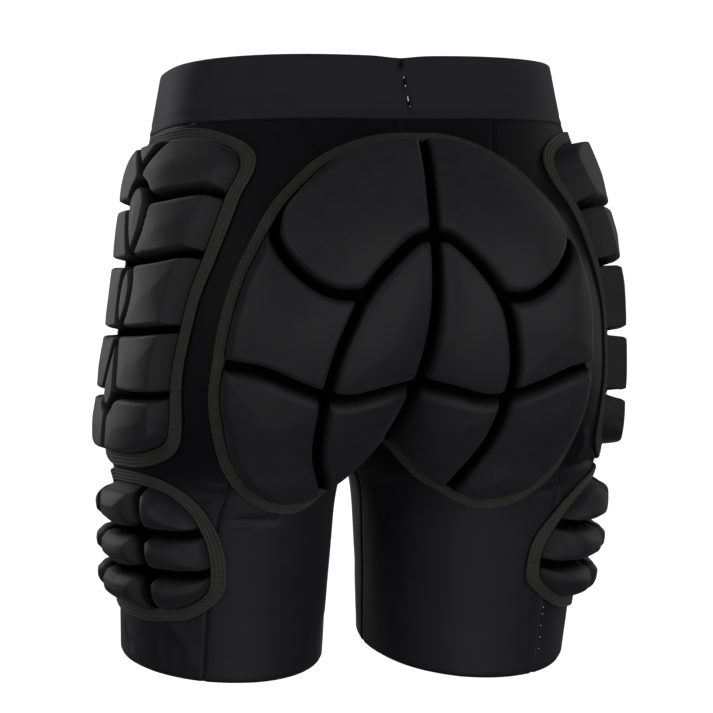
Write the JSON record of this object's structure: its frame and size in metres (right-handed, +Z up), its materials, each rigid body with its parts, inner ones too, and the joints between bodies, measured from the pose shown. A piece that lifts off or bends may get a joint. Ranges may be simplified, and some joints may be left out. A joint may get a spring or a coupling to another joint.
{
  "type": "padded hip protection shorts",
  "caption": "Close-fitting protective shorts with raised foam pads over the seat, hips and outer thighs and a wide elastic waistband.",
  "frame": {"origin": "middle of the waistband at half its height, where the wearer's waist is", "axes": "+Z up towards the waist's mouth, +Y out of the back, +X towards the wearer's left"},
  "size_m": [0.3655, 0.2528, 0.4163],
  "materials": {
    "band": "black ribbed elastic with a matt knitted face",
    "cloth": "black stretch polyester knit with a faint sheen",
    "pad": "black brushed knit moulded over foam, matt and smooth",
    "border": "black flat-stitched seam with raised thread rows"
  },
  "bodies": {
    "root": {"waistband": "band", "back_panel_left": "cloth", "back_panel_right": "cloth", "side_panel_left": "cloth", "side_panel_right": "cloth", "front_panel_left": "cloth", "front_panel_right": "cloth", "seat_pad": "pad", "seat_pad_border": "border", "hip_pad_left": "pad", "hip_pad_border_left": "border", "hip_pad_right": "pad", "hip_pad_border_right": "border", "thigh_pad_left": "pad", "thigh_pad_border_left": "border", "thigh_pad_right": "pad", "thigh_pad_border_right": "border"}
  },
  "joints": []
}
